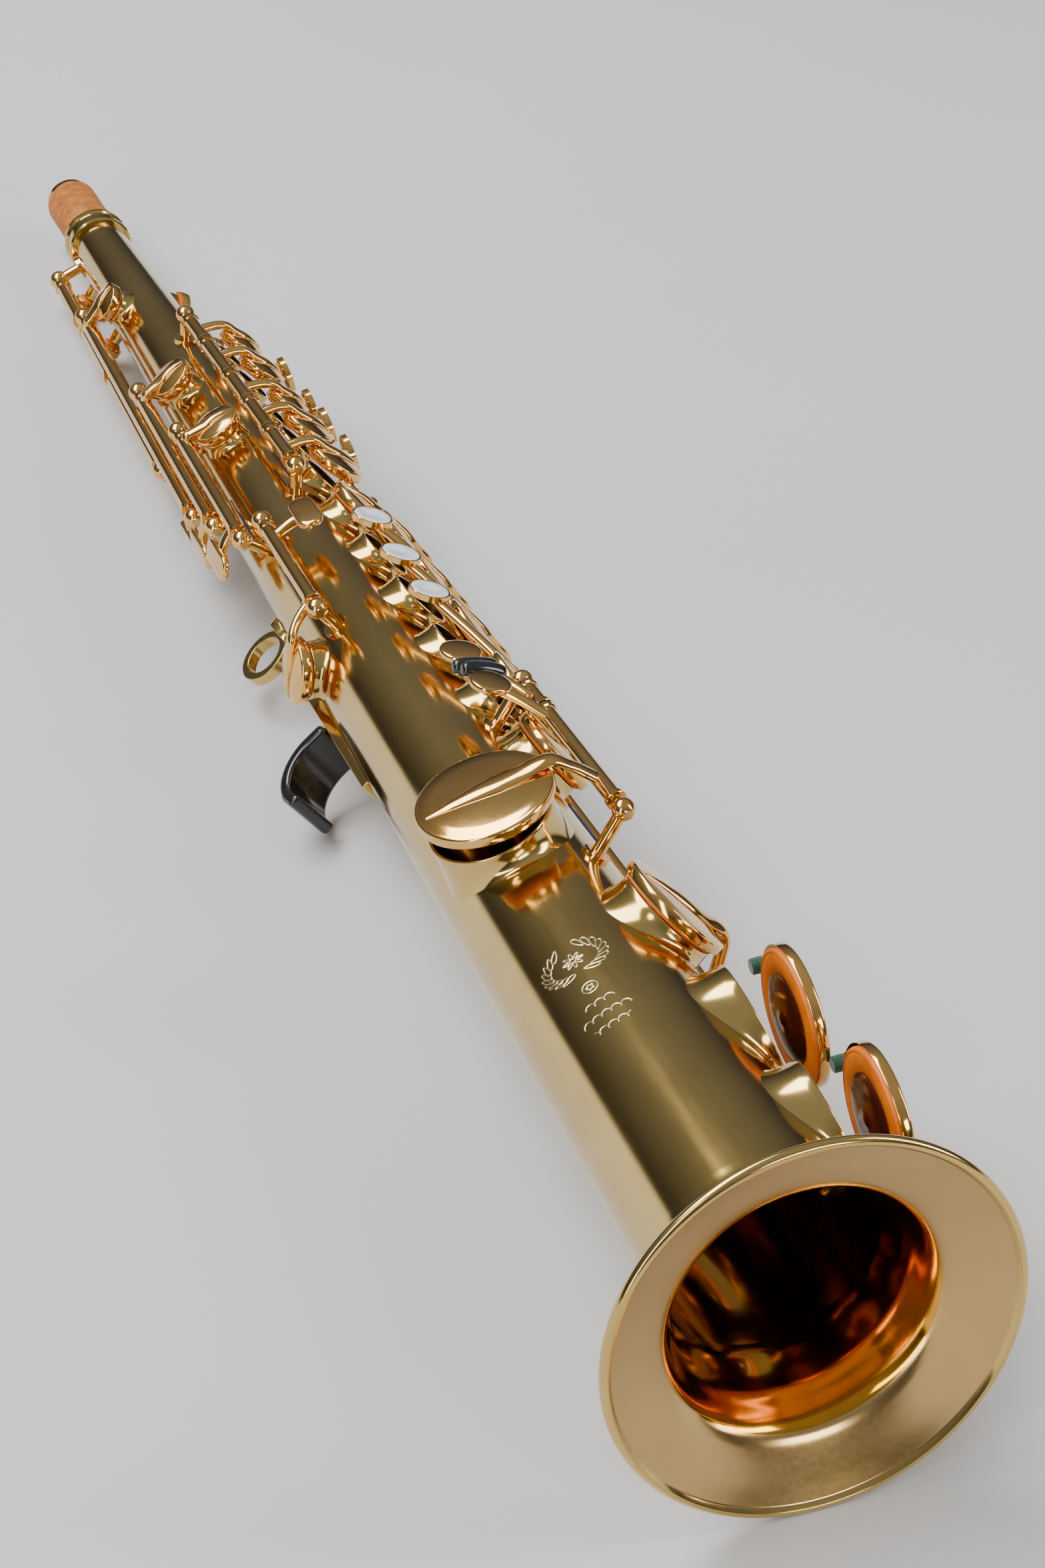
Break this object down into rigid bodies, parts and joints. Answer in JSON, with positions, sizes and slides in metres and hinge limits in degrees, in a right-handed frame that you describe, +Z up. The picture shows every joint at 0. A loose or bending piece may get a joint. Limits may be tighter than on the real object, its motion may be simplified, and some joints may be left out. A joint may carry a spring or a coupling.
{
  "type": "soprano saxophone",
  "caption": "Straight conical brass woodwind lying on its side: flared bell, drawn tone holes with padded key cups on hinge rods, corked neck for a mouthpiece, black thumb hook.",
  "frame": {"origin": "centre of the bounding box in X and Y, at the surface the instrument lies on", "axes": "+Y along the body from the bell towards the neck, +Z up from the surface it lies on, +X towards the front of the instrument"},
  "size_m": [0.093, 0.6168, 0.0929],
  "materials": {
    "lacquered_brass": "clear gold lacquer",
    "key_brass": "polished and lacquered",
    "pad_leather": "waxed leather with a dark domed resonator",
    "cork": "greased cork",
    "black_plastic": "moulded, polished",
    "rod_steel": "ground",
    "spring_steel": "blued"
  },
  "bodies": {
    "body": {"body_tube": "lacquered_brass", "bell": "lacquered_brass", "neck_ring": "lacquered_brass", "neck_cork": "cork", "posts": "lacquered_brass", "hinge_rods": "rod_steel", "needle_springs": "spring_steel", "thumb_hook_plate": "lacquered_brass", "thumb_hook": "black_plastic", "thumb_rest": "black_plastic", "strap_ring": "lacquered_brass"},
    "low_b_flat": {"low_b_flat_key": "key_brass", "low_b_flat_pad": "pad_leather"},
    "low_b": {"low_b_key": "key_brass", "low_b_pad": "pad_leather"},
    "low_c_sharp": {"low_c_sharp_key": "key_brass", "low_c_sharp_pad": "pad_leather"},
    "low_c": {"low_c_key": "key_brass", "low_c_pad": "pad_leather"},
    "low_e_flat": {"low_e_flat_key": "key_brass", "low_e_flat_pad": "pad_leather"},
    "d": {"d_key": "key_brass", "d_pad": "pad_leather"},
    "e": {"e_key": "key_brass", "e_pad": "pad_leather"},
    "f": {"f_key": "key_brass", "f_pad": "pad_leather"},
    "f_sharp": {"f_sharp_key": "key_brass", "f_sharp_pad": "pad_leather"},
    "f_sharp_trill": {"f_sharp_trill_key": "key_brass", "f_sharp_trill_pad": "pad_leather"},
    "g_sharp": {"g_sharp_key": "key_brass", "g_sharp_pad": "pad_leather"},
    "g": {"g_key": "key_brass", "g_pad": "pad_leather"},
    "a": {"a_key": "key_brass", "a_pad": "pad_leather"},
    "bis": {"bis_key": "key_brass", "bis_pad": "pad_leather"},
    "b": {"b_key": "key_brass", "b_pad": "pad_leather"},
    "c": {"c_key": "key_brass", "c_pad": "pad_leather"},
    "side_b_flat": {"side_b_flat_key": "key_brass", "side_b_flat_pad": "pad_leather"},
    "side_c": {"side_c_key": "key_brass", "side_c_pad": "pad_leather"},
    "side_e": {"side_e_key": "key_brass", "side_e_pad": "pad_leather"},
    "palm_d": {"palm_d_key": "key_brass", "palm_d_pad": "pad_leather"},
    "palm_e_flat": {"palm_e_flat_key": "key_brass", "palm_e_flat_pad": "pad_leather"},
    "palm_f": {"palm_f_key": "key_brass", "palm_f_pad": "pad_leather"},
    "lower_octave": {"lower_octave_key": "key_brass", "lower_octave_pad": "pad_leather"},
    "upper_octave": {"upper_octave_key": "key_brass", "upper_octave_pad": "pad_leather"},
    "octave_lever": {"octave_lever_key": "key_brass"}
  },
  "joints": [
    {"name": "low_b_flat_hinge", "type": "hinge", "parent": "body", "child": "low_b_flat", "pos_m": [0.0234, -0.25328, 0.02219], "axis": [0.0221, -0.9992, 0.0324], "range_deg": [0, 17], "stiffness_Nm_per_rad": 0.1, "springref_deg": -22.92},
    {"name": "low_b_hinge", "type": "hinge", "parent": "body", "child": "low_b", "pos_m": [0.02685, -0.21287, 0.02695], "axis": [0.0263, -0.9989, 0.0383], "range_deg": [0, 17], "stiffness_Nm_per_rad": 0.1, "springref_deg": -22.92},
    {"name": "low_c_sharp_hinge", "type": "hinge", "parent": "body", "child": "low_c_sharp", "pos_m": [0.02846, -0.17362, 0.03211], "axis": [-0.029, 0.9986, -0.0451], "range_deg": [0, 12], "stiffness_Nm_per_rad": 0.09, "springref_deg": -22.92},
    {"name": "low_c_hinge", "type": "hinge", "parent": "body", "child": "low_c", "pos_m": [0.01783, -0.12883, 0.0651], "axis": [0.0161, -0.9968, 0.0779], "range_deg": [0, 6], "stiffness_Nm_per_rad": 0.08, "springref_deg": -22.92},
    {"name": "low_e_flat_hinge", "type": "hinge", "parent": "body", "child": "low_e_flat", "pos_m": [0.01722, -0.09092, 0.06214], "axis": [0.0161, -0.9968, 0.0779], "range_deg": [0, 12], "stiffness_Nm_per_rad": 0.04, "springref_deg": -22.92},
    {"name": "d_hinge", "type": "hinge", "parent": "body", "child": "d", "pos_m": [0.02616, -0.06535, 0.03446], "axis": [0.03, -0.9981, 0.0534], "range_deg": [0, 10], "stiffness_Nm_per_rad": 0.04, "springref_deg": -22.92},
    {"name": "e_hinge", "type": "hinge", "parent": "body", "child": "e", "pos_m": [0.02523, -0.0344, 0.0328], "axis": [0.03, -0.9981, 0.0534], "range_deg": [0, 10], "stiffness_Nm_per_rad": 0.04, "springref_deg": -22.92},
    {"name": "f_hinge", "type": "hinge", "parent": "body", "child": "f", "pos_m": [0.02436, -0.00547, 0.03126], "axis": [0.03, -0.9981, 0.0534], "range_deg": [0, 10], "stiffness_Nm_per_rad": 0.04, "springref_deg": -22.92},
    {"name": "f_sharp_hinge", "type": "hinge", "parent": "body", "child": "f_sharp", "pos_m": [0.02352, 0.02253, 0.02976], "axis": [0.03, -0.9981, 0.0534], "range_deg": [0, 10], "stiffness_Nm_per_rad": 0.04, "springref_deg": -22.92},
    {"name": "f_sharp_trill_hinge", "type": "hinge", "parent": "body", "child": "f_sharp_trill", "pos_m": [-0.01496, -0.01246, 0.05059], "axis": [0.0182, 0.9969, -0.0764], "range_deg": [0, 12], "stiffness_Nm_per_rad": 0.04, "springref_deg": -22.92},
    {"name": "g_sharp_hinge", "type": "hinge", "parent": "body", "child": "g_sharp", "pos_m": [0.02274, 0.04845, 0.02837], "axis": [-0.03, 0.9981, -0.0534], "range_deg": [0, 12], "stiffness_Nm_per_rad": 0.04, "springref_deg": -22.92},
    {"name": "g_hinge", "type": "hinge", "parent": "body", "child": "g", "pos_m": [0.00137, 0.07359, 0.04849], "axis": [-0.0019, 0.9966, -0.0825], "range_deg": [0, 10], "stiffness_Nm_per_rad": 0.04, "springref_deg": -22.92},
    {"name": "a_hinge", "type": "hinge", "parent": "body", "child": "a", "pos_m": [0.00133, 0.0975, 0.04651], "axis": [-0.0019, 0.9966, -0.0825], "range_deg": [0, 10], "stiffness_Nm_per_rad": 0.04, "springref_deg": -22.92},
    {"name": "bis_hinge", "type": "hinge", "parent": "body", "child": "bis", "pos_m": [0.00129, 0.11547, 0.04502], "axis": [-0.0019, 0.9966, -0.0825], "range_deg": [0, 10], "stiffness_Nm_per_rad": 0.04, "springref_deg": -22.92},
    {"name": "b_hinge", "type": "hinge", "parent": "body", "child": "b", "pos_m": [0.00125, 0.13938, 0.04304], "axis": [-0.0019, 0.9966, -0.0825], "range_deg": [0, 10], "stiffness_Nm_per_rad": 0.04, "springref_deg": -22.92},
    {"name": "c_hinge", "type": "hinge", "parent": "body", "child": "c", "pos_m": [0.00121, 0.15931, 0.04139], "axis": [-0.0019, 0.9966, -0.0825], "range_deg": [0, 10], "stiffness_Nm_per_rad": 0.04, "springref_deg": -22.92},
    {"name": "side_b_flat_hinge", "type": "hinge", "parent": "body", "child": "side_b_flat", "pos_m": [-0.01756, 0.10498, 0.03649], "axis": [-0.025, -0.9973, 0.0692], "range_deg": [0, 12], "stiffness_Nm_per_rad": 0.04, "springref_deg": -22.92},
    {"name": "side_c_hinge", "type": "hinge", "parent": "body", "child": "side_c", "pos_m": [-0.01886, 0.14364, 0.02913], "axis": [-0.0284, -0.9977, 0.0622], "range_deg": [0, 12], "stiffness_Nm_per_rad": 0.04, "springref_deg": -22.92},
    {"name": "side_e_hinge", "type": "hinge", "parent": "body", "child": "side_e", "pos_m": [-0.01786, 0.21124, 0.01939], "axis": [-0.03, -0.9981, 0.053], "range_deg": [0, 14], "stiffness_Nm_per_rad": 0.04, "springref_deg": -22.92},
    {"name": "palm_d_hinge", "type": "hinge", "parent": "body", "child": "palm_d", "pos_m": [0.01016, 0.17639, 0.00441], "axis": [-0.0156, 0.9995, -0.0271], "range_deg": [0, 14], "stiffness_Nm_per_rad": 0.04, "springref_deg": -22.92},
    {"name": "palm_e_flat_hinge", "type": "hinge", "parent": "body", "child": "palm_e_flat", "pos_m": [0.00989, 0.19337, 0.00395], "axis": [-0.0156, 0.9995, -0.0271], "range_deg": [0, 14], "stiffness_Nm_per_rad": 0.04, "springref_deg": -22.92},
    {"name": "palm_f_hinge", "type": "hinge", "parent": "body", "child": "palm_f", "pos_m": [0.00938, 0.22639, 0.00305], "axis": [-0.0156, 0.9995, -0.0271], "range_deg": [0, 14], "stiffness_Nm_per_rad": 0.04, "springref_deg": -22.92},
    {"name": "lower_octave_hinge", "type": "hinge", "parent": "body", "child": "lower_octave", "pos_m": [-0.01606, 0.22284, 0.01163], "axis": [0.0275, 0.9988, -0.0408], "range_deg": [0, 10], "stiffness_Nm_per_rad": 0.04, "springref_deg": -22.92},
    {"name": "upper_octave_hinge", "type": "hinge", "parent": "body", "child": "upper_octave", "pos_m": [-0.01518, 0.25479, 0.01033], "axis": [0.0275, 0.9988, -0.0408], "range_deg": [0, 10], "stiffness_Nm_per_rad": 0.04, "springref_deg": -22.92},
    {"name": "octave_lever_hinge", "type": "hinge", "parent": "body", "child": "octave_lever", "pos_m": [-0.01836, 0.13939, 0.01504], "axis": [-0.0275, -0.9988, 0.0408], "range_deg": [0, 10], "stiffness_Nm_per_rad": 0.04, "springref_deg": -22.92}
  ],
  "couplings": [
    {"joint": "upper_octave_hinge", "follows": "octave_lever_hinge", "ratio": 1},
    {"joint": "f_sharp_hinge", "follows": "f_hinge", "ratio": 1},
    {"joint": "c_hinge", "follows": "a_hinge", "ratio": 1}
  ]
}
